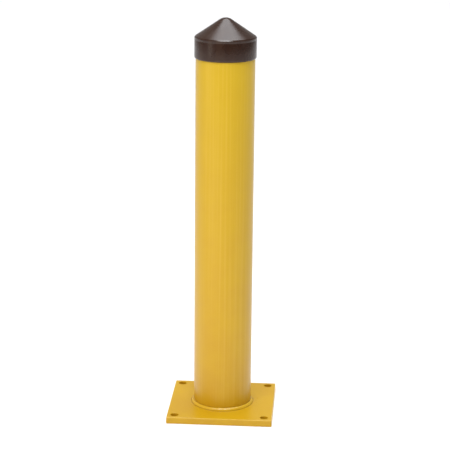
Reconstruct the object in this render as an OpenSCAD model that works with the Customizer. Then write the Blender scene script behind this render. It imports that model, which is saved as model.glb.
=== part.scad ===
// Steel safety bollard: a square base plate, a round pipe standing on it, the
// fillet weld between the two, and a push-on cap that lifts off the pipe.
// Frame: +Z up, origin at the centre of the base plate's underside,
// plate sides along X and Y. Millimetres.

/* [Pipe] */
// Outer diameter of the pipe
pipe_od = 139.7; // [100:0.1:168]
// Wall thickness of the pipe
pipe_wall = 6.35; // [3:0.05:12]
// Height of the pipe's top end above the floor
pipe_top_z = 914.4; // [450:0.1:1300]

/* [Base plate] */
// Side of the square base plate
plate_side = 254; // [230:1:400]
// Thickness of the base plate
plate_t = 15.9; // [8:0.1:30]
// Diameter of the four anchor holes
anchor_hole_d = 19.05; // [10:0.05:26]
// Distance from each anchor hole's axis to the two nearest plate edges
anchor_hole_inset = 19.05; // [15:0.05:24]

/* [Weld] */
// Leg length of the fillet weld round the foot of the pipe
weld_leg = 6.35; // [3:0.05:10]

/* [Cap] */
// Wall thickness of the cap's skirt, beyond its clearance on the pipe
cap_wall = 2.75; // [2:0.05:6]
// How far the skirt reaches down over the pipe
skirt_depth = 46.4; // [25:0.1:80]
// Slope of the cap's cone above the horizontal, in degrees
cone_slope = 34.2; // [20:0.1:45]
// Radius that rounds the cone's tip
tip_r = 25; // [5:0.5:40]
// Radius that rounds the shoulder between cone and skirt
shoulder_r = 5; // [1:0.5:8]

/* [Hidden] */

$fn = 96;

paint_yellow = [0.87, 0.71, 0.18];
weld_yellow = [0.90, 0.74, 0.22];
cap_brown = [0.17, 0.13, 0.12];

over = 1;                // how far a cutting shape reaches past the surface it cuts

// Base plate
corner_r = 3;            // rounds the plate's four upright corners
arris = 1;               // chamfer that breaks the top edges
hole_break = 0.8;        // countersink that breaks each hole's upper rim
hole_pitch = plate_side - 2 * anchor_hole_inset;

// Pipe
pipe_r = pipe_od / 2;
pipe_bore_r = pipe_r - pipe_wall;
end_chamfer = 0.8;       // chamfer on both rims of the sawn top end
seam_w = 4;              // width of the inner flash along the pipe's own seam
seam_h = 1;              // height of that flash above the bore
seam_angle = 90;         // the seam is turned to the back
seam_trim = 3;           // the flash is cut back this far from the top end

// Weld: the face bulges past the straight line between its two toes
weld_bulge_r = 2 * weld_leg;

// Cap
fit_gap = 0.25;          // radial clearance between the skirt and the pipe
cap_r = pipe_r + fit_gap + cap_wall;
socket_r = pipe_r + fit_gap;
rim_z = pipe_top_z - skirt_depth;
shoulder_lift = 3.1;     // height of the shoulder above the pipe's top end
shoulder_z = pipe_top_z + shoulder_lift;
apex_z = shoulder_z + cap_r * tan(cone_slope);   // where the cone's sides would meet
rim_chamfer = 1.2;       // chamfer on the skirt's outer bottom edge
lead_in = 1.2;           // chamfer that guides the skirt on to the pipe
stop_lap = 1.5;          // how far the stop ledge reaches in past the pipe's bore
stop_r = pipe_bore_r - stop_lap;
grip_relief = 0.9;       // depth of the grooves that leave the grip bands between them
grip_bands = 3;
grip_band_h = 5;
cone_wall_z = cap_wall / cos(cone_slope);        // cone wall measured upright
stiffener_count = 8;
stiffener_t = 2;
stiffener_inset = 22;    // the ribs under the cone stop this far inside the ledge
stiffener_r = stop_r - stiffener_inset;
stiffener_lift = 11;     // height of the ribs' lower edge above the pipe's top end
stiffener_z = pipe_top_z + stiffener_lift;
tip_thickening = 1.5;    // extra wall under the rounded tip
arc_steps = 12;          // straight pieces in each rounded stretch of the cap's outline

// Height of the cone's outer face at radius r, before its tip is rounded
function cone_z(r) = apex_z - r * tan(cone_slope);

// A square bar along X turned on its edge: cuts the chamfer on the plate's top edge
module edge_cutter(length) {
    rotate([45, 0, 0])
        cube([length, arris * sqrt(2), arris * sqrt(2)], center = true);
}

module plate_blank() {
    straight = plate_side - 2 * corner_r;
    translate([-straight / 2, -plate_side / 2, 0]) cube([straight, plate_side, plate_t]);
    translate([-plate_side / 2, -straight / 2, 0]) cube([plate_side, straight, plate_t]);
    for (x = [-1, 1], y = [-1, 1])
        translate([x * straight / 2, y * straight / 2, 0]) cylinder(h = plate_t, r = corner_r);
}

module anchor_hole() {
    hole_r = anchor_hole_d / 2;
    translate([0, 0, -over]) cylinder(h = plate_t + 2 * over, r = hole_r);
    translate([0, 0, plate_t - hole_break])
        cylinder(h = hole_break * 2, r1 = hole_r, r2 = hole_r + hole_break * 2);
}

module base_plate() {
    color(paint_yellow)
    difference() {
        plate_blank();
        for (a = [0 : 90 : 270])
            rotate([0, 0, a])
                translate([0, -plate_side / 2, plate_t]) edge_cutter(plate_side + 2 * over);
        for (x = [-1, 1], y = [-1, 1])
            translate([x * hole_pitch / 2, y * hole_pitch / 2, 0]) anchor_hole();
    }
}

module pipe_profile() {
    polygon([
        [pipe_bore_r, plate_t],
        [pipe_r, plate_t],
        [pipe_r, pipe_top_z - end_chamfer],
        [pipe_r - end_chamfer, pipe_top_z],
        [pipe_bore_r + end_chamfer, pipe_top_z],
        [pipe_bore_r, pipe_top_z - end_chamfer]
    ]);
}

// The low ridge that rolling and seam welding leave inside the pipe
module seam_flash() {
    foot = 1;   // how deep the strip is rooted in the wall
    rotate([0, 0, seam_angle])
        translate([pipe_bore_r - seam_h, -seam_w / 2, plate_t])
            cube([seam_h + foot, seam_w, pipe_top_z - seam_trim - plate_t]);
}

module pipe() {
    color(paint_yellow)
    union() {
        rotate_extrude() pipe_profile();
        seam_flash();
    }
}

module base_weld() {
    // centre of the arc that bulges the bead's face, found from its two toes
    half_chord = weld_leg / sqrt(2);
    back = sqrt(pow(weld_bulge_r, 2) - pow(half_chord, 2));
    arc_x = pipe_r + weld_leg / 2 - back / sqrt(2);
    arc_z = plate_t + weld_leg / 2 - back / sqrt(2);
    color(weld_yellow)
    rotate_extrude()
        intersection() {
            translate([pipe_r, plate_t]) square(weld_leg);
            translate([arc_x, arc_z]) circle(r = weld_bulge_r);
        }
}

// Outer outline of the cap, filled down to the axis
module cap_outer() {
    turn = 90 - cone_slope;                                  // angle the shoulder turns through
    shoulder_x = cap_r - shoulder_r;
    shoulder_c = cone_z(shoulder_x) - shoulder_r / cos(cone_slope);
    tip_c = apex_z - tip_r / cos(cone_slope);
    polygon(concat(
        [[0, rim_z], [cap_r - rim_chamfer, rim_z], [cap_r, rim_z + rim_chamfer]],
        [for (i = [0 : arc_steps])
            let (a = turn * i / arc_steps)
            [shoulder_x + shoulder_r * cos(a), shoulder_c + shoulder_r * sin(a)]],
        [for (i = [0 : arc_steps])
            let (a = turn + cone_slope * i / arc_steps)
            [tip_r * cos(a), tip_c + tip_r * sin(a)]]
    ));
}

// Hollow of the cap: the socket that the pipe fills and the space under the cone
module cap_hollow() {
    band_gap = (skirt_depth - lead_in - grip_bands * grip_band_h) / (grip_bands + 1);
    tip_ceiling = cone_z(tip_r / 2) - cone_wall_z - tip_thickening;
    translate([0, rim_z - over]) square([socket_r, skirt_depth + over]);
    polygon([
        [0, rim_z - over],
        [socket_r + lead_in + over, rim_z - over],
        [socket_r, rim_z + lead_in]
    ]);
    for (i = [0 : grip_bands])
        translate([0, rim_z + lead_in + i * (band_gap + grip_band_h)])
            square([socket_r + grip_relief, band_gap]);
    polygon([
        [0, pipe_top_z - over],
        [stop_r, pipe_top_z - over],
        [stop_r, cone_z(stop_r) - cone_wall_z],
        [tip_r / 2, tip_ceiling],
        [0, tip_ceiling]
    ]);
}

// Ribs under the cone, joined to its inner face
module cap_stiffeners() {
    intersection() {
        for (i = [0 : stiffener_count / 2 - 1])
            rotate([0, 0, i * 360 / stiffener_count])
                translate([-stiffener_r, -stiffener_t / 2, stiffener_z])
                    cube([2 * stiffener_r, stiffener_t, apex_z - stiffener_z]);
        rotate_extrude()
            polygon([
                [0, stiffener_z],
                [stiffener_r, stiffener_z],
                [stiffener_r, cone_z(stiffener_r) - cone_wall_z / 2],
                [tip_r / 2, cone_z(tip_r / 2) - cone_wall_z],
                [0, cone_z(tip_r / 2) - cone_wall_z]
            ]);
    }
}

module cap() {
    color(cap_brown)
    union() {
        rotate_extrude()
            difference() {
                cap_outer();
                cap_hollow();
            }
        cap_stiffeners();
    }
}

base_plate();
pipe();
base_weld();
cap();
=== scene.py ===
"""Finished look of a steel safety bollard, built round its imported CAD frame.

A round pipe stands on a square base plate and is welded to it all round. The
post is powder coated safety yellow. A moulded brown cap pushes on to the
pipe's top end and lifts off along the pipe's axis.

Lengths are in metres. The front of the bollard faces -Y, and an angle round
the pipe is counted from the front towards +X.
"""

import logging
import math
import random
from contextlib import contextmanager
from dataclasses import dataclass, field
from enum import Enum
from typing import Callable, Iterator

import bmesh
import bpy
from mathutils import Matrix, Vector


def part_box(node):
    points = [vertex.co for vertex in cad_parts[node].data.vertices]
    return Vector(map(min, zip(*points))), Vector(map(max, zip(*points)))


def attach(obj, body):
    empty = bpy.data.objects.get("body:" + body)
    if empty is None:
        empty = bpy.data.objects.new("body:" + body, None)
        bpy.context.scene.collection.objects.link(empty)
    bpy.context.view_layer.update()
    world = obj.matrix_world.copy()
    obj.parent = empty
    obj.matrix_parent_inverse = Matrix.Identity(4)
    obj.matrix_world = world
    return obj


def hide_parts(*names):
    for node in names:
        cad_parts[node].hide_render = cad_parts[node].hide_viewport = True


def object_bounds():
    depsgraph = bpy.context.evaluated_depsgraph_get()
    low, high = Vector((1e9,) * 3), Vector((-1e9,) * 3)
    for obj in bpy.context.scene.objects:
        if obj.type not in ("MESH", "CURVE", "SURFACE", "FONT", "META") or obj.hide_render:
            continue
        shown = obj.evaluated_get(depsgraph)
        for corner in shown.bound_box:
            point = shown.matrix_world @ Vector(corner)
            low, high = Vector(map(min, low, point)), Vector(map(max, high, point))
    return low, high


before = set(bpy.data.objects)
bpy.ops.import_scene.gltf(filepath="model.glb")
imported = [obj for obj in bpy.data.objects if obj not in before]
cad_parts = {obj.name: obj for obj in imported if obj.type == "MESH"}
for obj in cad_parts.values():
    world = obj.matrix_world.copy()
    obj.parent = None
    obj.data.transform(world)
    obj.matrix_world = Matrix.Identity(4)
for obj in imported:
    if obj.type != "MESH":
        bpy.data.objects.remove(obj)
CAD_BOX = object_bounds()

log = logging.getLogger("bollard")

Outline = list[tuple[float, float]]
Colour = tuple[float, float, float, float]
Socket = bpy.types.NodeSocket

HAIR = 1e-5          # two places closer than this are the same place
SMOOTH_ANGLE = math.radians(32)
EASED = {"interpolation_type": "SMOOTHSTEP"}    # a range whose ends fade in softly


class Body(Enum):
    """The CAD bodies that a piece can ride on."""

    POST = "post"
    CAP = "cap"


class Slot(Enum):
    """The record's material slots."""

    COAT = "yellow_powder_coat"
    WELD = "weld_powder_coat"
    PLASTIC = "cap_plastic"


def mm(length: float) -> float:
    """Turns millimetres to metres.

    Args:
        length: A length in millimetres.

    Returns:
        The same length in metres.
    """
    return length / 1000


# --------------------------------------------------------------------------
# Working by hand: selecting, editing and finishing a mesh
# --------------------------------------------------------------------------


def deselect_all() -> None:
    """Leaves nothing selected and nothing in edit mode."""
    if bpy.context.object and bpy.context.object.mode != "OBJECT":
        bpy.ops.object.mode_set(mode="OBJECT")
    for thing in list(bpy.context.selected_objects):
        thing.select_set(False)


def pick(piece: bpy.types.Object) -> None:
    """Selects one object alone and makes it the active one.

    Args:
        piece: The object to work on.
    """
    deselect_all()
    piece.select_set(True)
    bpy.context.view_layer.objects.active = piece


@contextmanager
def editing(piece: bpy.types.Object) -> Iterator[None]:
    """Opens a piece in edit mode with nothing selected, and closes it again.

    Args:
        piece: The mesh object to work on.
    """
    pick(piece)
    bpy.ops.object.mode_set(mode="EDIT")
    bpy.ops.mesh.select_mode(type="VERT")
    bpy.ops.mesh.select_all(action="DESELECT")
    yield
    bpy.ops.object.mode_set(mode="OBJECT")


def select(piece: bpy.types.Object, kind: str, test: Callable[..., bool]) -> None:
    """Selects the edges or vertices of the piece in edit mode that pass a test, and no others.

    Args:
        piece: The object in edit mode.
        kind: "EDGE" or "VERT".
        test: Takes an edge's two ends, or a vertex's place, and says whether it is wanted.
    """
    bpy.ops.mesh.select_mode(type=kind)
    bpy.ops.mesh.select_all(action="DESELECT")
    mesh = bmesh.from_edit_mesh(piece.data)
    for item in mesh.edges if kind == "EDGE" else mesh.verts:
        ends = item.verts if kind == "EDGE" else [item]
        if test(*(end.co for end in ends)):
            item.select_set(True)
    mesh.select_flush_mode()
    bmesh.update_edit_mesh(piece.data)


def bevel(width: float, segments: int) -> None:
    """Rounds the selected edges of the mesh in edit mode.

    Args:
        width: How far the rounding reaches from each edge.
        segments: How many faces it is drawn in.
    """
    bpy.ops.mesh.bevel(offset=width, offset_type="OFFSET", segments=segments, affect="EDGES")


def settle(piece: bpy.types.Object) -> None:
    """Moves a piece's place, turn and size into its mesh, so that the object sits at the origin.

    Args:
        piece: The mesh object.
    """
    pick(piece)
    bpy.ops.object.transform_apply(location=True, rotation=True, scale=True)


def apply_modifier(piece: bpy.types.Object, kind: str, **settings: object) -> None:
    """Adds one modifier to a piece and applies it.

    Args:
        piece: The mesh object.
        kind: Blender's modifier type, such as "BOOLEAN".
        **settings: The modifier's own properties.
    """
    pick(piece)
    modifier = piece.modifiers.new(kind.title(), kind)
    for name, value in settings.items():
        setattr(modifier, name, value)
    bpy.ops.object.modifier_apply(modifier=modifier.name)


def copied(piece: bpy.types.Object) -> bpy.types.Object:
    """Duplicates a piece together with its mesh.

    Args:
        piece: The modelled original.

    Returns:
        The copy, with a mesh of its own.
    """
    pick(piece)
    bpy.ops.object.duplicate(linked=False)
    return bpy.context.object


def add_cube(name: str, low: Vector, high: Vector) -> bpy.types.Object:
    """Adds a cuboid that fills the space between two corners.

    Args:
        name: The piece's name.
        low: Lowest corner.
        high: Highest corner.

    Returns:
        The new object, at the origin, with its place in its mesh.
    """
    deselect_all()
    bpy.ops.mesh.primitive_cube_add(size=1, location=(low + high) / 2, scale=high - low)
    piece = bpy.context.object
    piece.name = piece.data.name = name
    settle(piece)
    return piece


def arc(centre: tuple[float, float], radius: float, start: float, end: float, steps: int) -> Outline:
    """Returns points along a round stretch of an outline.

    Args:
        centre: The arc's centre, as distance from the axis and height.
        radius: The arc's radius.
        start: Angle of its first point, in degrees.
        end: Angle of its last point, in degrees.
        steps: How many straight pieces it is drawn in.

    Returns:
        The points, both ends included.
    """
    angles = [math.radians(start + (end - start) * i / steps) for i in range(steps + 1)]
    return [(centre[0] + radius * math.cos(a), centre[1] + radius * math.sin(a)) for a in angles]


def turned(name: str, outline: Outline, steps: int, closed: bool) -> bpy.types.Object:
    """Turns an outline round the Z axis, as on a lathe.

    One vertex is extruded from point to point of the outline, and the line is
    then spun a full turn. Its seam and any poles are closed.

    Args:
        name: The piece's name.
        outline: Points as distance from the axis and height.
        steps: How many faces go round the piece.
        closed: Whether the outline's last point joins its first.

    Returns:
        The new object.
    """
    deselect_all()
    first_x, first_z = outline[0]
    bpy.ops.mesh.primitive_plane_add(size=mm(1), location=(first_x, 0, first_z))
    piece = bpy.context.object
    piece.name = piece.data.name = name
    settle(piece)
    stops = outline[1:] + outline[:1] if closed else outline[1:]
    with editing(piece):
        bpy.ops.mesh.select_all(action="SELECT")
        bpy.ops.mesh.merge(type="CENTER")
        at_x, at_z = first_x, first_z
        for x, z in stops:
            move = {"value": (x - at_x, 0, z - at_z)}
            bpy.ops.mesh.extrude_region_move(TRANSFORM_OT_translate=move)
            at_x, at_z = x, z
        bpy.ops.mesh.select_all(action="SELECT")
        bpy.ops.mesh.spin(steps=steps, angle=math.tau, center=(0, 0, 0), axis=(0, 0, 1))
        bpy.ops.mesh.select_all(action="SELECT")
        bpy.ops.mesh.remove_doubles(threshold=mm(0.002))
        bpy.ops.mesh.normals_make_consistent(inside=False)
    return piece


def smooth(piece: bpy.types.Object, weighted: bool = False) -> None:
    """Shades a piece smooth except across its sharp edges.

    Args:
        piece: The mesh object.
        weighted: Whether large flat faces keep their neighbours' bevels from tilting their shading.
    """
    pick(piece)
    bpy.ops.object.shade_smooth_by_angle(angle=SMOOTH_ANGLE)
    if weighted:
        apply_modifier(piece, "WEIGHTED_NORMAL", keep_sharp=True)


def round_the_pipe(place: Vector) -> float:
    """Finds the angle of a place round the Z axis, from the front towards +X.

    Args:
        place: A place on the post.

    Returns:
        The angle in radians.
    """
    return math.atan2(place.x, -place.y)


# --------------------------------------------------------------------------
# Finishes
# --------------------------------------------------------------------------


def linear(hex_colour: str) -> Colour:
    """Turns an sRGB hex colour to the linear colour that a shader takes.

    Args:
        hex_colour: Six hex digits after a "#".

    Returns:
        Red, green, blue and an alpha of one.
    """
    parts = [int(hex_colour[i:i + 2], 16) / 255 for i in (1, 3, 5)]
    red, green, blue = (c / 12.92 if c <= 0.04045 else ((c + 0.055) / 1.055) ** 2.4 for c in parts)
    return red, green, blue, 1.0


def add_node(
    tree: bpy.types.NodeTree, kind: str, inputs: dict[str, object] | None = None,
    output: int | str = 0, **settings: object,
) -> Socket:
    """Adds one shader node with its settings and links.

    Args:
        tree: The node tree.
        kind: The node's type, without the "ShaderNode" that starts every one.
        inputs: A socket's name or identifier, and either its value or the output that feeds it.
        output: The output that is wanted, by its place or name.
        **settings: The node's own properties.

    Returns:
        The wanted output.
    """
    node = tree.nodes.new("ShaderNode" + kind)
    for name, value in settings.items():
        setattr(node, name, value)
    for key, value in (inputs or {}).items():
        socket = next(s for s in node.inputs if key in (s.identifier, s.name))
        if isinstance(value, Socket):
            tree.links.new(value, socket)
        else:
            socket.default_value = value
    return node.outputs[output]


@dataclass
class Layup:
    """A material as it is built up: tones and relief laid over a base colour, lowest first."""

    name: str
    base: str
    tones: list[tuple[Socket, str]] = field(default_factory=list)      # where each lies, and its colour
    relief: list[tuple[Socket, float]] = field(default_factory=list)   # each height, and its depth
    material: bpy.types.Material = field(init=False)
    tree: bpy.types.NodeTree = field(init=False)
    place: Socket = field(init=False)                                  # object coordinates
    axes: tuple[Socket, ...] = field(init=False)                       # the same, as X, Y and height

    def __post_init__(self) -> None:
        """Makes the material and the coordinates that its patterns use."""
        self.material = bpy.data.materials.new(self.name)
        self.material.use_nodes = True
        self.tree = self.material.node_tree
        self.place = add_node(self.tree, "TexCoord", output="Object")
        self.axes = tuple(add_node(self.tree, "SeparateXYZ", {"Vector": self.place}).node.outputs)

    def finish(self, roughness: Socket | float, ior: float | None = None) -> bpy.types.Material:
        """Lays the tones and the relief, and joins them to the shader.

        Args:
            roughness: The surface's roughness, or the output that gives it.
            ior: The index of refraction, where it isn't the shader's own.

        Returns:
            The finished material.
        """
        colour, normal = linear(self.base), None
        for share, tone in self.tones:
            layers = {"Factor_Float": share, "A_Color": colour, "B_Color": linear(tone)}
            colour = add_node(self.tree, "Mix", layers, output=2, data_type="RGBA")
        for height, depth in self.relief:
            bump = {"Height": height, "Distance": depth, "Strength": 1.0}
            if normal is not None:
                bump["Normal"] = normal
            normal = add_node(self.tree, "Bump", bump)
        shader = self.tree.nodes["Principled BSDF"]
        looks = {"Base Color": colour, "Roughness": roughness, "Normal": normal, "IOR": ior}
        for name, value in looks.items():
            if isinstance(value, Socket):
                self.tree.links.new(value, shader.inputs[name])
            elif value is not None:
                shader.inputs[name].default_value = value
        return self.material


class WearAndPaintedLight(Enum):
    """What has happened to a coat that isn't the same all over the post, and where painted shade and painted
    light go on it.
    """

    NONE = "none"
    PLATE = "plate"      # thin on the arrises, streaked by the shear on the edges, painted shade by the weld
    PIPE = "pipe"        # shows the lines that the forming rolls left, painted shade just above the weld and under the cap's rim, painted lighter towards the top
    WELD = "weld"        # painted shade in the toes of the bead


@dataclass(frozen=True)
class PowderCoat:
    """Safety yellow polyester powder, sprayed on the welded post and baked.

    The melt levels into a satin skin with a fine orange peel. The film is a
    little uneven, so the colour drifts between a thin and a thick tone, and a
    few trapped nibs and light rubs break up the gloss.
    """

    name: str
    thick: str = "#C2981A"
    thin: str = "#C09418"
    rub: str = "#D6B24A"
    # painted shade in the creases at the weld's toes
    crease_shade: str = "#8E6410"
    roughness: float = 0.36
    gloss_drift: tuple[float, float] = (-0.04, 0.05)
    ior: float = 1.5
    wear_and_light: WearAndPaintedLight = WearAndPaintedLight.NONE
    film_size: float = mm(70)
    # peel on a real coat is 1 to 3 mm across; it is drawn at 4 mm so that it shows
    peel_size: float = mm(4)
    peel_depth: float = mm(0.07)
    nib_spacing: float = mm(26)
    nib_size: float = mm(0.9)
    nib_height: float = mm(0.12)
    rub_length: float = mm(160)
    rub_haze: float = 0.35               # how much rougher a rubbed place is
    plate_half: float = mm(127)
    plate_top: float = mm(15.9)
    arris: float = mm(1.6)
    worn_patch: float = mm(9)
    streak_size: float = mm(2.2)
    streak_depth: float = mm(0.10)
    toe_place: float = mm(76.2)
    # the painted shade beside the weld: how far it fades and the size of its patches
    toe_shade_width: float = mm(2.0)
    toe_shade_patch: float = mm(14)
    # painted light: a lighter, more lemon tone rises towards the pipe's top, standing in for the light that
    # falls more on the top
    top_light_tone: str = "#C3A11F"
    top_light_share: float = 0.85
    top_light_from: float = mm(150)
    top_light_to: float = mm(900)
    # painted shade on the pipe under the cap's rim: where it lies, how wide it is and how dark
    rim_place: float = mm(868)
    rim_shade_width: float = mm(1.7)
    rim_shade_tone: str = "#3A280C"
    draw_line_width: float = mm(5)
    draw_line_depth: float = mm(0.05)

    def build(self) -> bpy.types.Material:
        """Builds the coat's nodes.

        Returns:
            The finished material.
        """
        coat = Layup(self.name, self.thin)
        tree, place = coat.tree, coat.place
        film = add_node(
            tree, "TexNoise", {"Vector": place, "Scale": 1 / self.film_size, "Detail": 3.0, "Roughness": 0.5}
        )
        film_share = add_node(tree, "MapRange", {"Value": film, "From Min": 0.36, "From Max": 0.64}, **EASED)
        rubs = self._rubs(coat)
        coat.tones += [(film_share, self.thick), (rubs, self.rub)]
        glossiest, dullest = (self.roughness + drift for drift in self.gloss_drift)
        gloss = add_node(
            tree, "MapRange",
            {"Value": film, "From Min": 0.3, "From Max": 0.7, "To Min": glossiest, "To Max": dullest},
        )
        gloss = add_node(
            tree, "Math", {"Value": rubs, "Value_001": self.rub_haze, "Value_002": gloss},
            operation="MULTIPLY_ADD",
        )
        self._peel(coat)
        if self.wear_and_light is WearAndPaintedLight.PLATE:
            self._plate_wear(coat)
        if self.wear_and_light is WearAndPaintedLight.PIPE:
            self._draw_lines(coat)
            self._rim_painted_shade(coat)
        # painted shade where the coat meets the weld
        if self.wear_and_light in (WearAndPaintedLight.PLATE, WearAndPaintedLight.PIPE):
            self._toe_painted_shade(coat)
        if self.wear_and_light is WearAndPaintedLight.WELD:
            # painted shade: the coat darkens in the toes of the bead, where the crease lies in shade
            coat.tones.append((add_node(tree, "Attribute", output="Fac", attribute_name="toe"), self.crease_shade))
        return coat.finish(gloss, self.ior)

    def _rubs(self, coat: Layup) -> Socket:
        """Finds where the coat has faint upright rubs from handling.

        Args:
            coat: The coat so far.

        Returns:
            How much a point is rubbed, from 0 to about 0.2.
        """
        squeezed = add_node(coat.tree, "Mapping", {"Vector": coat.place, "Scale": (1.0, 1.0, 0.12)})
        noise = add_node(
            coat.tree, "TexNoise",
            {"Vector": squeezed, "Scale": 8 / self.rub_length, "Detail": 6.0, "Roughness": 0.62},
        )
        return add_node(
            coat.tree, "MapRange",
            {"Value": noise, "From Min": 0.60, "From Max": 0.80, "To Max": 0.16}, **EASED,
        )

    def _peel(self, coat: Layup) -> None:
        """Adds the orange peel and the nibs.

        Args:
            coat: The coat so far.
        """
        skin = add_node(
            coat.tree, "TexNoise", {"Vector": coat.place, "Scale": 1 / self.peel_size, "Detail": 2.0}
        )
        nibs = add_node(coat.tree, "TexVoronoi", {"Vector": coat.place, "Scale": 1 / self.nib_spacing})
        dome = add_node(
            coat.tree, "MapRange",
            {"Value": nibs, "From Max": self.nib_size / self.nib_spacing, "To Min": 1.0, "To Max": 0.0},
            **EASED,
        )
        coat.relief += [(skin, self.peel_depth), (dome, self.nib_height)]

    def _plate_wear(self, coat: Layup) -> None:
        """Thins the coat along the plate's arrises and streaks the sheared edges.

        Args:
            coat: The coat so far.
        """
        tree, place = coat.tree, coat.place
        sides = [add_node(tree, "Math", {"Value": axis}, operation="ABSOLUTE") for axis in coat.axes[:2]]
        reach = add_node(tree, "Math", {"Value": sides[0], "Value_001": sides[1]}, operation="MAXIMUM")
        near_side, near_top = (
            add_node(
                tree, "MapRange", {"Value": at, "From Min": end - 2 * self.arris, "From Max": end}, **EASED
            )
            for at, end in ((reach, self.plate_half), (coat.axes[2], self.plate_top))
        )
        upright = add_node(tree, "Mapping", {"Vector": place, "Scale": (1.0, 1.0, 0.1)})
        patches = add_node(tree, "TexNoise", {"Vector": place, "Scale": 1 / self.worn_patch, "Detail": 4.0})
        streaks = add_node(
            tree, "TexNoise", {"Vector": upright, "Scale": 1 / self.streak_size, "Detail": 3.0}
        )
        edge, on_edge = (
            add_node(tree, "Math", {"Value": one, "Value_001": other}, operation="MULTIPLY")
            for one, other in ((near_side, near_top), (streaks, near_side))
        )
        worn = add_node(tree, "Math", {"Value": edge, "Value_001": patches}, operation="MULTIPLY")
        coat.tones.append((worn, self.rub))
        coat.relief.append((on_edge, self.streak_depth))

    def _draw_lines(self, coat: Layup) -> None:
        """Lets the lines that the forming rolls left along the pipe show through the coat, and paints the
        coat lighter towards the pipe's top as painted light.

        Args:
            coat: The coat so far.
        """
        tree = coat.tree
        along = add_node(tree, "Mapping", {"Vector": coat.place, "Scale": (1.0, 1.0, 0.008)})
        lines = add_node(
            tree, "TexNoise",
            {"Vector": along, "Scale": 1 / self.draw_line_width, "Detail": 3.0, "Roughness": 0.55},
        )
        pale = add_node(
            tree, "MapRange", {"Value": lines, "From Min": 0.45, "From Max": 0.75, "To Max": 0.22}, **EASED
        )
        # painted light: the coat turns lighter and more lemon with height
        upper = add_node(
            tree, "MapRange",
            {"Value": coat.axes[2], "From Min": self.top_light_from, "From Max": self.top_light_to,
             "To Max": self.top_light_share},
        )
        coat.tones += [(upper, self.top_light_tone), (pale, self.rub)]
        coat.relief.append((lines, self.draw_line_depth))

    def _rim_painted_shade(self, coat: Layup) -> None:
        """Draws painted shade: a dark ring on the pipe just under the cap's rim, standing in for the shade
        under the rim.

        Args:
            coat: The coat so far.
        """
        gap = add_node(
            coat.tree, "Math", {"Value": coat.axes[2], "Value_001": self.rim_place}, operation="SUBTRACT"
        )
        apart = add_node(coat.tree, "Math", {"Value": gap}, operation="ABSOLUTE")
        # painted shade under the cap's rim
        ring = add_node(
            coat.tree, "MapRange",
            {"Value": apart, "From Min": self.rim_shade_width * 0.6, "From Max": self.rim_shade_width,
             "To Min": 0.92, "To Max": 0.0},
            **EASED,
        )
        coat.tones.append((ring, self.rim_shade_tone))

    def _toe_painted_shade(self, coat: Layup) -> None:
        """Draws painted shade: a dark line on the coat where it meets the weld, standing in for the shade in
        the crease.

        Args:
            coat: The coat so far.
        """
        tree, place = coat.tree, coat.place
        if self.wear_and_light is WearAndPaintedLight.PLATE:
            flat = add_node(tree, "Mapping", {"Vector": place, "Scale": (1.0, 1.0, 0.0)})
            distance = add_node(tree, "VectorMath", {"Vector": flat}, output="Value", operation="LENGTH")
        else:
            distance = coat.axes[2]
        near = add_node(
            tree, "MapRange",
            {"Value": distance, "From Min": self.toe_place, "From Max": self.toe_place + self.toe_shade_width,
             "To Min": 1.0, "To Max": 0.0},
            **EASED,
        )
        patches = add_node(tree, "TexNoise", {"Vector": place, "Scale": 1 / self.toe_shade_patch, "Detail": 4.0})
        share = add_node(
            tree, "MapRange",
            {"Value": patches, "From Min": 0.3, "From Max": 0.7, "To Min": 0.35, "To Max": 1.0},
        )
        # painted shade against the weld, broken up in patches
        shaded = add_node(tree, "Math", {"Value": near, "Value_001": share}, operation="MULTIPLY")
        coat.tones.append((shaded, self.crease_shade))


@dataclass(frozen=True)
class MillScaleSteel:
    """Hot-finished steel inside the pipe, where little powder reaches.

    Blue-grey mill scale with soft brown flash rust, and a haze of yellow
    overspray that fades out below the pipe's top end.
    """

    name: str = "mill_scale_steel"
    scale: str = "#4A4744"
    rust: str = "#6B4227"
    overspray: str = "#C8962B"
    blotch_size: float = mm(22)
    speckle_size: float = mm(3)
    pit_depth: float = mm(0.15)
    spray_top: float = mm(914)
    spray_depth: float = mm(150)

    def build(self) -> bpy.types.Material:
        """Builds the steel's nodes.

        Returns:
            The finished material.
        """
        steel = Layup(self.name, self.scale)
        tree, place = steel.tree, steel.place
        blotches = add_node(
            tree, "TexNoise",
            {"Vector": place, "Scale": 1 / self.blotch_size, "Detail": 6.0, "Roughness": 0.6},
        )
        rusty = add_node(tree, "MapRange", {"Value": blotches, "From Min": 0.45, "From Max": 0.62}, **EASED)
        sprayed = add_node(
            tree, "MapRange",
            {"Value": steel.axes[2],
             "From Min": self.spray_top - self.spray_depth, "From Max": self.spray_top,
             "To Min": -0.35, "To Max": 1.25},
            clamp=False,
        )
        speckle = add_node(tree, "TexNoise", {"Vector": place, "Scale": 1 / self.speckle_size, "Detail": 3.0})
        haze = add_node(tree, "Math", {"Value": sprayed, "Value_001": speckle}, operation="ADD")
        haze = add_node(tree, "MapRange", {"Value": haze, "From Min": 0.45, "From Max": 0.95}, **EASED)
        steel.tones += [(rusty, self.rust), (haze, self.overspray)]
        steel.relief.append((speckle, self.pit_depth))
        rough = add_node(
            tree, "MapRange",
            {"Value": blotches, "From Min": 0.3, "From Max": 0.7, "To Min": 0.5, "To Max": 0.8},
        )
        return steel.finish(rough)


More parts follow.
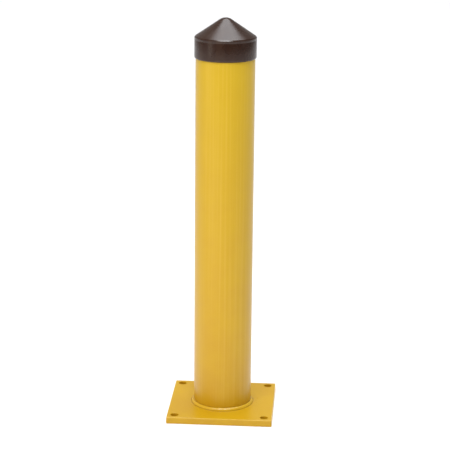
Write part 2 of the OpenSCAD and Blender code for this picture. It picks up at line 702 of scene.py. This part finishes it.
@dataclass(frozen=True)
class MouldedPlastic:
    """Dark brown polyethylene, injection moulded in a spark-eroded tool.

    The tool leaves a fine even grain that turns reflections into a broad
    satin sheen. Melt runs out from the gate at the tip, so faint streaks run
    down the cone, and faint dusty smears dull the gloss in patches.
    """

    name: str = "moulded_polyethylene"
    body: str = "#2F1C12"
    flow: str = "#342217"
    bloom: str = "#45362B"
    roughness: float = 0.28
    gloss_drift: tuple[float, float] = (-0.05, 0.08)
    ior: float = 1.51
    # the tool's grain is 0.3 mm; it is drawn at 1.5 mm so that it shows
    grain_size: float = mm(1.5)
    grain_depth: float = mm(0.02)
    streak_count: float = 26.0
    smear_size: float = mm(34)

    def build(self) -> bpy.types.Material:
        """Builds the plastic's nodes.

        Returns:
            The finished material.
        """
        plastic = Layup(self.name, self.body)
        tree, place = plastic.tree, plastic.place
        across, along, height = plastic.axes
        angle = add_node(tree, "Math", {"Value": across, "Value_001": along}, operation="ARCTAN2")
        turn_x, turn_y = (
            add_node(tree, "Math", {"Value": angle}, operation=wave) for wave in ("COSINE", "SINE")
        )
        ring = add_node(tree, "CombineXYZ", {"X": turn_x, "Y": turn_y, "Z": height})
        streaks = add_node(
            tree, "TexNoise", {"Vector": ring, "Scale": self.streak_count / math.tau, "Detail": 4.0}
        )
        flowing = add_node(tree, "MapRange", {"Value": streaks, "From Min": 0.4, "From Max": 0.65}, **EASED)
        smears = add_node(
            tree, "TexNoise",
            {"Vector": place, "Scale": 1 / self.smear_size, "Detail": 6.0, "Roughness": 0.6},
        )
        dusty = add_node(
            tree, "MapRange", {"Value": smears, "From Min": 0.52, "From Max": 0.75, "To Max": 0.28}, **EASED
        )
        glossiest, dullest = (self.roughness + drift for drift in self.gloss_drift)
        gloss = add_node(
            tree, "MapRange",
            {"Value": smears, "From Min": 0.3, "From Max": 0.7, "To Min": glossiest, "To Max": dullest},
        )
        grain = add_node(tree, "TexNoise", {"Vector": place, "Scale": 1 / self.grain_size, "Detail": 2.0})
        plastic.tones += [(flowing, self.flow), (dusty, self.bloom)]
        plastic.relief.append((grain, self.grain_depth))
        return plastic.finish(gloss, self.ior)


@dataclass(frozen=True)
class PaleFloor:
    """Matt white studio floor, with a trace of unevenness in the paint."""

    name: str = "pale_floor"
    light: str = "#FAF9F8"
    shade: str = "#F7F6F5"
    patch_size: float = 0.4
    roughness: float = 0.9

    def build(self) -> bpy.types.Material:
        """Builds the floor's nodes.

        Returns:
            The finished material.
        """
        floor = Layup(self.name, self.light)
        patches = add_node(
            floor.tree, "TexNoise", {"Vector": floor.place, "Scale": 1 / self.patch_size, "Detail": 2.0}
        )
        floor.tones.append((patches, self.shade))
        return floor.finish(self.roughness)


def dress(piece: bpy.types.Object, *materials: bpy.types.Material) -> None:
    """Gives a piece its materials, the first one all over.

    Args:
        piece: The mesh object.
        *materials: The finishes, in the order of the piece's slots.
    """
    piece.data.materials.clear()
    for material in materials:
        piece.data.materials.append(material)


def hand_over(piece: bpy.types.Object, body: Body, slot: Slot, *nodes: str) -> None:
    """Ties a finished piece to the frame and reports it.

    Args:
        piece: The finished mesh object.
        body: The CAD body that it rides on.
        slot: The record's material slot meant for the piece. Not used.
        *nodes: The CAD nodes that it stands for.
    """
    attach(piece, body.value)
    if nodes:
        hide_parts(*nodes)
    piece.data.calc_loop_triangles()
    log.info("%s: %d triangles, rides on %s", piece.name, len(piece.data.loop_triangles), body.value)


# --------------------------------------------------------------------------
# The post
# --------------------------------------------------------------------------


@dataclass
class BasePlate:
    """The square plate that bolts to the floor, sheared from thick sheet."""

    corner_radius: float = mm(3)
    arris_radius: float = mm(1.5)
    foot_radius: float = mm(0.7)
    # the shear burnishes the upper part of each edge, and the rest breaks away slightly proud
    burnish_share: float = 0.45
    fracture_step: float = mm(0.45)
    hole_radius: float = mm(9.525)
    hole_inset: float = mm(19.05)
    hole_deburr: float = mm(0.8)
    hole_steps: int = 96

    def build(self, coat: bpy.types.Material) -> None:
        """Builds the plate and dresses it.

        Args:
            coat: The plate's powder coat.
        """
        low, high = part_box("base_plate")
        plate = add_cube("base_plate_steel", low, high)
        self._shape_edges(plate, low, high)
        self._drill(plate, low, high)
        smooth(plate, weighted=True)
        dress(plate, coat)
        hand_over(plate, Body.POST, Slot.COAT, "base_plate")

    def _shape_edges(self, plate: bpy.types.Object, low: Vector, high: Vector) -> None:
        """Rounds the corners and gives each edge its sheared face and soft arrises.

        Args:
            plate: The plain cuboid.
            low: The plate's lowest corner.
            high: The plate's highest corner.
        """
        break_z = high.z - (high.z - low.z) * self.burnish_share
        shrink = 1 - self.fracture_step / high.x
        with editing(plate):
            select(plate, "EDGE", lambda a, b: abs(a.z - b.z) > HAIR)
            bevel(self.corner_radius, 6)
            for height in (break_z, break_z - 2 * self.fracture_step):
                bpy.ops.mesh.select_all(action="SELECT")
                bpy.ops.mesh.bisect(plane_co=(0, 0, height), plane_no=(0, 0, 1))
            select(plate, "VERT", lambda v: v.z > break_z - HAIR)
            bpy.ops.transform.resize(value=(shrink, shrink, 1), center_override=(0, 0, 0))
            select(plate, "EDGE", lambda a, b: min(a.z, b.z) > high.z - HAIR)
            bevel(self.arris_radius, 5)
            select(plate, "EDGE", lambda a, b: max(a.z, b.z) < low.z + HAIR)
            bevel(self.foot_radius, 3)

    def _drill(self, plate: bpy.types.Object, low: Vector, high: Vector) -> None:
        """Cuts the four anchor holes and rounds over their rims.

        Args:
            plate: The shaped plate.
            low: The plate's lowest corner.
            high: The plate's highest corner.
        """
        reach = high.x - self.hole_inset
        centres = [Vector((x * reach, y * reach, 0)) for x in (-1, 1) for y in (-1, 1)]
        deselect_all()
        bpy.ops.mesh.primitive_cylinder_add(
            vertices=self.hole_steps, radius=self.hole_radius, depth=3 * high.z, location=(0, 0, high.z / 2)
        )
        drill = bpy.context.object
        settle(drill)
        for centre in centres:
            bit = copied(drill)
            bit.location = centre
            settle(bit)
            apply_modifier(plate, "BOOLEAN", object=bit, operation="DIFFERENCE", solver="EXACT")
            bpy.data.objects.remove(bit)
        bpy.data.objects.remove(drill)

        def on_rim(a: Vector, b: Vector, height: float) -> bool:
            """Says whether an edge lies on a hole's rim.

            Args:
                a: One end of the edge.
                b: Its other end.
                height: The height of the face that the rim is in.

            Returns:
                True on a rim.
            """
            level = max(abs(a.z - height), abs(b.z - height)) < HAIR
            return level and any(
                all(abs((v - c).xy.length - self.hole_radius) < mm(0.05) for v in (a, b)) for c in centres
            )

        with editing(plate):
            select(plate, "EDGE", lambda a, b: on_rim(a, b, high.z))
            bevel(self.hole_deburr, 4)
            select(plate, "EDGE", lambda a, b: on_rim(a, b, low.z))
            bevel(self.hole_deburr / 2, 2)


@dataclass
class Pipe:
    """The round pipe, sawn square at both ends, with its own seam inside."""

    wall: float = mm(6.35)
    end_round: float = mm(0.9)
    steps: int = 192
    seam_width: float = mm(4)
    seam_height: float = mm(1)
    seam_root: float = mm(0.6)
    seam_trim: float = mm(3)
    seam_cuts: int = 48
    seam_sway: float = mm(0.12)
    seam_waves: tuple[float, float] = (mm(11), mm(37))

    def build(self, coat: bpy.types.Material, steel: bpy.types.Material) -> None:
        """Builds the pipe and the flash along its seam, and dresses both.

        Args:
            coat: The powder coat outside.
            steel: The bare steel inside.
        """
        low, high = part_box("pipe")
        self._tube(low, high, coat, steel)
        self._seam(low, high, steel)

    def _tube(
        self, low: Vector, high: Vector, coat: bpy.types.Material, steel: bpy.types.Material
    ) -> None:
        """Turns the tube from its wall's outline.

        Args:
            low: The pipe's lowest corner.
            high: The pipe's highest corner.
            coat: The powder coat outside.
            steel: The bare steel inside.
        """
        outer = high.x
        bore = outer - self.wall
        rim = high.z - self.end_round
        outline = [(bore, low.z), (outer, low.z)]
        outline += arc((outer - self.end_round, rim), self.end_round, 0, 90, 5)
        outline += arc((bore + self.end_round, rim), self.end_round, 90, 180, 5)
        tube = turned("pipe_steel", outline, self.steps, closed=True)
        smooth(tube)
        dress(tube, coat, steel)
        for face in tube.data.polygons:
            if face.center.xy.length < bore + HAIR:
                face.material_index = 1
        hand_over(tube, Body.POST, Slot.COAT, "pipe")

    def _seam(self, low: Vector, high: Vector, steel: bpy.types.Material) -> None:
        """Runs the low flash of the pipe's seam up the back of its bore.

        Args:
            low: The pipe's lowest corner.
            high: The pipe's highest corner.
            steel: The bare steel inside.
        """
        bore = high.x - self.wall
        half = self.seam_width / 2
        crest = bore - self.seam_height
        flash = add_cube(
            "pipe_seam_flash",
            Vector((-half, crest, low.z)),
            Vector((half, bore + self.seam_root, high.z - self.seam_trim)),
        )
        with editing(flash):
            select(flash, "EDGE", lambda a, b: max(a.y, b.y) < crest + HAIR and abs(a.z - b.z) > HAIR)
            bevel(self.seam_height * 0.9, 4)
            select(flash, "EDGE", lambda a, b: abs(a.z - b.z) > HAIR)
            bpy.ops.mesh.subdivide(number_cuts=self.seam_cuts)
            select(flash, "VERT", lambda v: v.y < bore - HAIR)
            mesh = bmesh.from_edit_mesh(flash.data)
            short, long = self.seam_waves
            for vertex in mesh.verts:
                place = vertex.co
                if vertex.select:
                    place.y += self.seam_sway * math.sin(place.z / short) * math.sin(place.z / long)
            bmesh.update_edit_mesh(flash.data)
        smooth(flash)
        dress(flash, steel)
        hand_over(flash, Body.POST, Slot.COAT)


@dataclass
class FilletWeld:
    """The bead that joins pipe and plate, laid by hand in one run round the foot."""

    leg: float = mm(6.35)
    bulge_radius: float = mm(12.7)
    sink: float = mm(0.4)
    steps: int = 960
    arc_steps: int = 14
    ripple_count: int = 118
    ripple_height: float = mm(0.17)
    ripple_lag: float = 1.9
    wander: float = mm(0.28)
    # how the hand drifts along the run: share, waves round the pipe and where they start
    drifts: tuple[tuple[float, float, float], ...] = ((0.6, 3, 0.7), (0.4, 7, 2.1), (0.35, 17, 0.3))
    # where the run starts, stops and laps over itself: angle and half width in degrees, rise in mm
    laps: tuple[tuple[float, float, float], ...] = (
        (-1.0, 8.0, 1.05), (8.5, 2.4, -0.55), (21.0, 10.0, 0.55), (35.0, 3.6, 0.7),
        (126.0, 5.0, 0.4), (216.0, 6.0, 0.45), (304.0, 5.0, 0.35),
    )
    lap_at_toe: float = 0.45     # the share of a lap's rise that reaches the toes
    # painted shade in the toes: how dark, how narrow and how sharply it fades
    bead_toe_shade: tuple[float, float, float] = (0.9, 1.7, 1.5)
    spatter_count: int = 16
    spatter_seed: int = 11
    spatter_stray: float = 11                            # from even spacing, in degrees
    spatter_size: tuple[float, float] = (0.45, 1.0)      # in mm
    spatter_reach: tuple[float, float] = (2.5, 13)       # beyond the bead, in mm
    splat_on_plate: tuple[float, float, float] = (1, 1, 0.55)
    splat_on_pipe: tuple[float, float, float] = (0.8, 0.8, 1)
    foot_z: float = field(init=False)    # the plate's top face
    pipe_r: float = field(init=False)

    def __post_init__(self) -> None:
        """Takes the bead's place from the CAD pipe."""
        low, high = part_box("pipe")
        self.foot_z, self.pipe_r = low.z, high.x

    def build(self, coat: bpy.types.Material) -> None:
        """Builds the bead and its spatter, and dresses both.

        Args:
            coat: The powder coat over the bead.
        """
        bead = turned("weld_bead", self._outline(), self.steps, closed=True)
        self._lay(bead)
        smooth(bead)
        dress(bead, coat)
        hand_over(bead, Body.POST, Slot.WELD, "base_weld")
        self._spatter(coat)

    def _outline(self) -> Outline:
        """Draws the bead's outline, let into pipe and plate so that no gap shows.

        Returns:
            The outline, counted as closed.
        """
        half_chord = self.leg / math.sqrt(2)
        back = math.sqrt(self.bulge_radius**2 - half_chord**2) / math.sqrt(2)
        middle = self.leg / 2
        centre = (self.pipe_r + middle - back, self.foot_z + middle - back)
        toe_turn = math.degrees(math.asin(half_chord / self.bulge_radius))
        face = arc(centre, self.bulge_radius, 45 + toe_turn, 45 - toe_turn, self.arc_steps)
        low, inside = self.foot_z - self.sink, self.pipe_r - self.sink
        return [(inside, self.foot_z + self.leg), *face, (self.pipe_r + self.leg, low), (inside, low)]

    def _rise(self, angle: float, tilt: float) -> float:
        """Works out how far the bead's face stands out at a point.

        Args:
            angle: Angle round the pipe, in radians.
            tilt: Angle of the point seen from the root, 0 on the plate and a right angle on the pipe.

        Returns:
            The rise, as a length.
        """
        across = math.sin(2 * tilt)
        drift = sum(share * math.sin(waves * angle + start) for share, waves, start in self.drifts)
        crest = 1 - abs(math.cos(self.ripple_count * angle / 2 + self.ripple_lag * across))
        rise = self.wander * drift + self.ripple_height * across * crest
        for place, half_width, height in self.laps:
            apart = (math.degrees(angle) - place + 180) % 360 - 180
            rise += mm(height) * math.exp(-((apart / half_width) ** 2)) * (
                self.lap_at_toe + (1 - self.lap_at_toe) * across
            )
        return rise

    def _lay(self, bead: bpy.types.Object) -> None:
        """Gives the turned bead its ripples, laps and uneven toes, and marks the toes for painted shade in
        the coat.

        Args:
            bead: The evenly turned bead.
        """
        toe = bead.data.attributes.new("toe", "FLOAT", "POINT")
        dark, narrow, fade = self.bead_toe_shade
        for vertex in bead.data.vertices:
            place = vertex.co
            outward, upward = place.xy.length - self.pipe_r, place.z - self.foot_z
            tilt = math.atan2(max(upward, 0), max(outward, 0))
            on_face = outward > -HAIR or upward > -HAIR
            gain = 1 + self._rise(round_the_pipe(place), tilt) / self.leg if on_face else 1
            if outward > 0:
                radius = self.pipe_r + outward * gain
                place.x, place.y = place.xy.normalized() * radius
            if upward > 0:
                place.z = self.foot_z + upward * gain
            # painted shade in the bead's toes, stored for the coat
            toe.data[vertex.index].value = dark * (1 - min(1, narrow * math.sin(2 * tilt))) ** fade
        bead.data.update()

    def _spatter(self, coat: bpy.types.Material) -> None:
        """Scatters small beads of spatter on the plate and the pipe beside the weld.

        Args:
            coat: The powder coat over them.
        """
        draw = random.Random(self.spatter_seed)
        deselect_all()
        bpy.ops.mesh.primitive_ico_sphere_add(subdivisions=2, radius=mm(1))
        bead = bpy.context.object
        beads = []
        for count in range(self.spatter_count):
            stray = draw.uniform(-self.spatter_stray, self.spatter_stray)
            angle = math.radians(360 * count / self.spatter_count + stray)
            size = draw.uniform(*self.spatter_size)
            out = self.leg + mm(draw.uniform(*self.spatter_reach))
            on_plate = count % 3 != 0
            radius = self.pipe_r + (out if on_plate else 0)
            height = self.foot_z + (0 if on_plate else out)
            drop = copied(bead)
            drop.location = (radius * math.sin(angle), -radius * math.cos(angle), height)
            drop.scale = Vector(self.splat_on_plate if on_plate else self.splat_on_pipe) * size
            settle(drop)
            beads.append(drop)
        bpy.data.objects.remove(bead)
        deselect_all()
        for drop in beads:
            drop.select_set(True)
        spatter = beads[0]
        bpy.context.view_layer.objects.active = spatter
        bpy.ops.object.join()
        spatter.name = spatter.data.name = "weld_spatter"
        smooth(spatter)
        spatter.data.attributes.new("toe", "FLOAT", "POINT")
        dress(spatter, coat)
        hand_over(spatter, Body.POST, Slot.WELD)


# --------------------------------------------------------------------------
# The cap
# --------------------------------------------------------------------------


@dataclass
class Cap:
    """The moulded push-on cap: a cone on a short skirt, hollow inside."""

    wall: float = mm(2.75)
    fit_gap: float = mm(0.25)
    shoulder_lift: float = mm(3.1)
    slope: float = math.radians(34.2)
    tip_radius: float = mm(25)
    shoulder_radius: float = mm(6)
    # the shoulder's round is moulded as one narrow facet between two tight corners
    facet_angle: float = 34
    facet_corner: float = mm(0.8)
    # the skirt's outer corner draws in over a few millimetres as the moulding shrinks
    rim_inset: float = mm(1.4)
    rim_rise: float = mm(3.6)
    lead_in: float = mm(1.2)
    stop_lap: float = mm(1.5)
    stop_clear: float = mm(0.05)
    pipe_wall: float = mm(6.35)
    grip_relief: float = mm(0.9)
    grip_bands: int = 3
    grip_band_height: float = mm(5)
    tip_thickening: float = mm(1.5)
    # a fine witness line where the two halves of the mould meet, below the shoulder
    witness_drop: float = mm(6.8)
    witness_height: float = mm(0.8)
    witness_depth: float = mm(0.16)
    rib_count: int = 8
    rib_thickness: float = mm(2)
    rib_reach: float = mm(40)
    rib_lift: float = mm(11)
    rib_embed: float = mm(1.2)
    rib_round: float = mm(0.3)
    steps: int = 192
    rim_z: float = field(init=False)
    outer: float = field(init=False)     # radius of the skirt
    pipe_top: float = field(init=False)
    pipe_r: float = field(init=False)
    shoulder_z: float = field(init=False)
    apex_z: float = field(init=False)    # where the cone's sides would meet
    wall_z: float = field(init=False)    # the cone's wall, measured upright

    def __post_init__(self) -> None:
        """Takes the cap's place from the CAD cap and pipe."""
        low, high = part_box("cap")
        pipe_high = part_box("pipe")[1]
        self.rim_z = low.z
        self.outer = max(high.xy)
        self.pipe_top, self.pipe_r = pipe_high.z, pipe_high.x
        self.shoulder_z = self.pipe_top + self.shoulder_lift
        self.apex_z = self.shoulder_z + self.outer * math.tan(self.slope)
        self.wall_z = self.wall / math.cos(self.slope)

    def build(self, plastic: bpy.types.Material) -> None:
        """Builds the shell and the ribs under its cone, and dresses both.

        Args:
            plastic: The cap's moulded plastic.
        """
        shell = turned("cap_shell", self._outer_face() + self._inner_face(), self.steps, closed=False)
        smooth(shell)
        dress(shell, plastic)
        hand_over(shell, Body.CAP, Slot.PLASTIC, "cap")
        self._ribs(plastic)

    def _cone_z(self, radius: float) -> float:
        """Finds the height of the cone's outer face, before its tip is rounded.

        Args:
            radius: Distance from the axis.

        Returns:
            The height above the floor.
        """
        return self.apex_z - radius * math.tan(self.slope)

    def _outer_face(self) -> Outline:
        """Draws the outline from the tip down the outside to the rim.

        Returns:
            The outline's points.
        """
        slope = math.degrees(self.slope)
        tip_z = self.apex_z - self.tip_radius / math.cos(self.slope)
        bend = self.outer - self.shoulder_radius
        bend_z = self._cone_z(bend) - self.shoulder_radius / math.cos(self.slope)
        witness_z = self.shoulder_z - self.witness_drop
        half = self.witness_height / 2
        tip = arc((0, tip_z), self.tip_radius, 90, 90 - slope, 14)
        shoulder = self._corner((bend, bend_z), 90 - slope, self.facet_angle)
        shoulder += self._corner((bend, bend_z), self.facet_angle, 0)
        witness = [
            (self.outer, witness_z + half), (self.outer - self.witness_depth, witness_z),
            (self.outer, witness_z - half),
        ]
        rim = [
            (self.outer - self.rim_inset * (1 - x), self.rim_z + self.rim_rise * (1 + z))
            for x, z in arc((0, 0), 1, 0, -90, 8)
        ]
        return [(0, tip_z + self.tip_radius), *tip[1:], *shoulder, *witness, *rim]

    def _corner(self, centre: tuple[float, float], start: float, end: float) -> Outline:
        """Draws one tight corner of the shoulder, between two lines that touch its large round.

        Args:
            centre: Centre of the large round.
            start: Angle of the first line's outward side, in degrees.
            end: Angle of the second line's outward side, in degrees.

        Returns:
            The corner's points.
        """
        middle, half = math.radians((start + end) / 2), math.radians((start - end) / 2)
        reach = (self.shoulder_radius - self.facet_corner) / math.cos(half)
        place = (centre[0] + reach * math.cos(middle), centre[1] + reach * math.sin(middle))
        return arc(place, self.facet_corner, start, end, 4)

    def _inner_face(self) -> Outline:
        """Draws the outline from the rim up the socket to the underside of the tip.

        Returns:
            The outline's points.
        """
        socket = self.pipe_r + self.fit_gap
        stop = self.pipe_r - self.pipe_wall - self.stop_lap
        ledge_z = self.pipe_top + self.stop_clear
        depth = self.pipe_top - self.rim_z - self.lead_in
        relief = (depth - self.grip_bands * self.grip_band_height) / (self.grip_bands + 1)
        ceiling = self._cone_z(self.tip_radius / 2) - self.wall_z - self.tip_thickening
        outline = [(socket + self.lead_in, self.rim_z), (socket, self.rim_z + self.lead_in)]
        height = self.rim_z + self.lead_in
        for band in range(self.grip_bands + 1):
            back = socket + self.grip_relief
            outline += [(back, height), (back, height + relief), (socket, height + relief)]
            height += relief
            if band < self.grip_bands:
                height += self.grip_band_height
                outline.append((socket, height))
        outline += [(socket, ledge_z), (stop, ledge_z), (stop, self._cone_z(stop) - self.wall_z)]
        return outline + [(self.tip_radius / 2, ceiling), (0, ceiling)]

    def _ribs(self, plastic: bpy.types.Material) -> None:
        """Builds the crossed ribs that stiffen the cone from below.

        Args:
            plastic: The cap's moulded plastic.
        """
        under = self.pipe_top + self.rib_lift
        crown = self._cone_z(self.tip_radius / 2) - self.wall_z - self.tip_thickening + self.rib_embed
        end_z = self._cone_z(self.rib_reach) - self.wall_z + self.rib_embed
        half = self.rib_thickness / 2
        rib = add_cube(
            "cap_rib", Vector((-self.rib_reach, -half, under)), Vector((self.rib_reach, half, end_z))
        )
        with editing(rib):
            for side in (-1, 1):
                bpy.ops.mesh.select_all(action="SELECT")
                bpy.ops.mesh.bisect(plane_co=(side * self.tip_radius / 2, 0, 0), plane_no=(1, 0, 0))
            select(rib, "VERT", lambda v: v.z > under + HAIR and abs(v.x) < self.tip_radius / 2 + HAIR)
            bpy.ops.transform.translate(value=(0, 0, crown - end_z))
        ribs = [rib]
        for count in range(1, self.rib_count // 2):
            bar = copied(rib)
            bar.rotation_euler.z = math.tau * count / self.rib_count
            settle(bar)
            ribs.append(bar)
        cross = ribs[0]
        for bar in ribs[1:]:
            apply_modifier(cross, "BOOLEAN", object=bar, operation="UNION", solver="EXACT")
            bpy.data.objects.remove(bar)
        cross.name = cross.data.name = "cap_ribs"
        apply_modifier(cross, "BEVEL", width=self.rib_round, segments=2, limit_method="ANGLE")
        smooth(cross)
        dress(cross, plastic)
        hand_over(cross, Body.CAP, Slot.PLASTIC)


# --------------------------------------------------------------------------
# The studio
# --------------------------------------------------------------------------


@dataclass(frozen=True)
class Ceiling:
    """A wide lit ceiling, far enough off to light the whole floor evenly."""

    name: str = "ceiling_light"
    spread: float = math.radians(50)
    tilt: float = math.radians(10)       # away from the front
    lean: float = math.radians(3)        # towards +X
    height: float = 4.0                  # only where its marker stands: the light is the same anywhere
    strength: float = 2.55
    tint: str = "#F9FBFF"

    def place(self) -> None:
        """Adds the light overhead."""
        lamp = bpy.data.lights.new(self.name, "SUN")
        lamp.angle = self.spread
        lamp.energy = self.strength
        lamp.color = linear(self.tint)[:3]
        ceiling = bpy.data.objects.new(self.name, lamp)
        ceiling.location = (0, 0, self.height)
        ceiling.rotation_euler = (-self.tilt, self.lean, 0)
        bpy.context.scene.collection.objects.link(ceiling)


@dataclass(frozen=True)
class Softbox:
    """A soft light on a stand, turned towards the bollard."""

    name: str
    angle: float         # round the bollard from the front towards +X, in degrees
    distance: float      # from the bollard's axis
    height: float
    width: float
    depth: float
    watts: float
    tint: str
    mirrored: bool = True    # whether glossy surfaces show it

    def place(self, target: Vector) -> None:
        """Adds the light and aims it.

        Args:
            target: The point that it faces.
        """
        turn = math.radians(self.angle)
        stand = Vector((self.distance * math.sin(turn), -self.distance * math.cos(turn), self.height))
        lamp = bpy.data.lights.new(self.name, "AREA")
        lamp.shape = "RECTANGLE"
        lamp.size = self.width
        lamp.size_y = self.depth
        lamp.energy = self.watts
        lamp.color = linear(self.tint)[:3]
        box = bpy.data.objects.new(self.name, lamp)
        box.location = stand
        box.rotation_euler = (target - stand).to_track_quat("-Z", "Y").to_euler()
        box.visible_glossy = self.mirrored
        bpy.context.scene.collection.objects.link(box)


@dataclass
class Studio:
    """A white floor, an even white surround and soft lights."""

    floor_side: float = 60.0
    surround_front: float = 0.18
    surround_back: float = 0.46
    bright_side: tuple[float, float, float] = (-0.5, 0.87, 0.0)
    # the view's tone curve: each light level, and the level it is shown at
    toe: tuple[tuple[float, float], ...] = ((0.03, 0.020), (0.08, 0.067), (0.25, 0.25))
    ceiling: Ceiling = Ceiling()
    softboxes: tuple[Softbox, ...] = (
        Softbox("key_softbox", -54, 2.7, 1.5, 0.9, 1.8, 5, "#FFFFFA"),
        Softbox("front_strip", -3, 1.3, 3.2, 1.6, 0.66, 62, "#FAFDFF"),
        Softbox("low_fill", -30, 1.9, 0.3, 1.6, 0.5, 8.5, "#FFE6C0", mirrored=False),
    )

    def build(self) -> None:
        """Sets up the floor, the surround and the lights."""
        deselect_all()
        bpy.ops.mesh.primitive_plane_add(size=self.floor_side, location=(0, 0, 0))
        floor = bpy.context.object
        floor.name = "studio_floor"
        dress(floor, PaleFloor().build())
        self._surround()
        self._develop()
        middle = Vector((0, 0, CAD_BOX[1].z / 2))
        self.ceiling.place()
        for softbox in self.softboxes:
            softbox.place(middle)
        log.info("studio: %d softboxes", len(self.softboxes))

    def _surround(self) -> None:
        """Lights the room round the bollard, a little more behind it and to its left."""
        world = bpy.data.worlds.new("studio_surround")
        world.use_nodes = True
        tree = world.node_tree
        way = add_node(tree, "TexCoord", output="Generated")
        depth = add_node(
            tree, "VectorMath", {"Vector": way, "Vector_001": self.bright_side},
            output="Value", operation="DOT_PRODUCT",
        )
        strength = add_node(
            tree, "MapRange",
            {"Value": depth, "From Min": -1.0, "From Max": 1.0,
             "To Min": self.surround_front, "To Max": self.surround_back},
        )
        background = tree.nodes["Background"]
        background.inputs["Color"].default_value = linear("#FFFFFF")
        tree.links.new(strength, background.inputs["Strength"])
        bpy.context.scene.world = world

    def _develop(self) -> None:
        """Gives the picture a camera's own response, with a short toe that deepens the shadows."""
        settings = bpy.context.scene.view_settings
        settings.view_transform = "Standard"
        settings.use_curve_mapping = True
        curve = settings.curve_mapping.curves[3]
        for light, shown in self.toe:
            curve.points.new(light, shown)
        settings.curve_mapping.update()


@dataclass
class Camera:
    """A long lens in front of the bollard and a little above it."""

    lens_mm: float = 129.3
    distance: float = 3.740
    height: float = 1.478
    turn: float = math.radians(3.79)
    yaw: float = math.radians(0.04)
    pitch: float = math.radians(15.18)
    roll: float = math.radians(0.55)

    def place(self) -> None:
        """Adds the camera and makes it the scene's own."""
        lens = bpy.data.cameras.new("camera")
        lens.lens = self.lens_mm
        camera = bpy.data.objects.new("camera", lens)
        ahead, aside = self.distance * math.cos(self.turn), self.distance * math.sin(self.turn)
        stand = Vector((aside, -ahead, self.height))
        aim = Matrix.Rotation(self.turn - self.yaw, 4, "Z")
        aim @= Matrix.Rotation(math.pi / 2 - self.pitch, 4, "X")
        aim @= Matrix.Rotation(self.roll, 4, "Z")
        camera.matrix_world = Matrix.Translation(stand) @ aim
        bpy.context.scene.collection.objects.link(camera)
        bpy.context.scene.camera = camera
        log.info("camera: %.0f mm lens, %.2f m away", self.lens_mm, self.distance)


def main() -> None:
    """Builds the studio, the post and the cap, in that order."""
    logging.basicConfig(level=logging.INFO, format="%(message)s")
    Camera().place()
    Studio().build()
    plate, bead, pipe = (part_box(node)[1] for node in ("base_plate", "base_weld", "pipe"))
    BasePlate().build(
        PowderCoat(
            "powder_coat_plate", wear_and_light=WearAndPaintedLight.PLATE, plate_half=plate.x, plate_top=plate.z, toe_place=bead.x
        ).build()
    )
    rim_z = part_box("cap")[0].z
    Pipe().build(
        PowderCoat("powder_coat_pipe", wear_and_light=WearAndPaintedLight.PIPE, toe_place=bead.z, rim_place=rim_z).build(),
        MillScaleSteel(spray_top=pipe.z).build(),
    )
    # the bead's coat is drawn glossier than the plate's, so that its ripples catch the light, and its tones
    # are a lighter copy of the plate's, a painted highlight on the bead
    FilletWeld().build(
        PowderCoat(
            "powder_coat_weld", wear_and_light=WearAndPaintedLight.WELD, thick="#CFA52A", thin="#CCA026", roughness=0.22
        ).build()
    )
    Cap().build(MouldedPlastic().build())


if __name__ == "__main__":
    main()
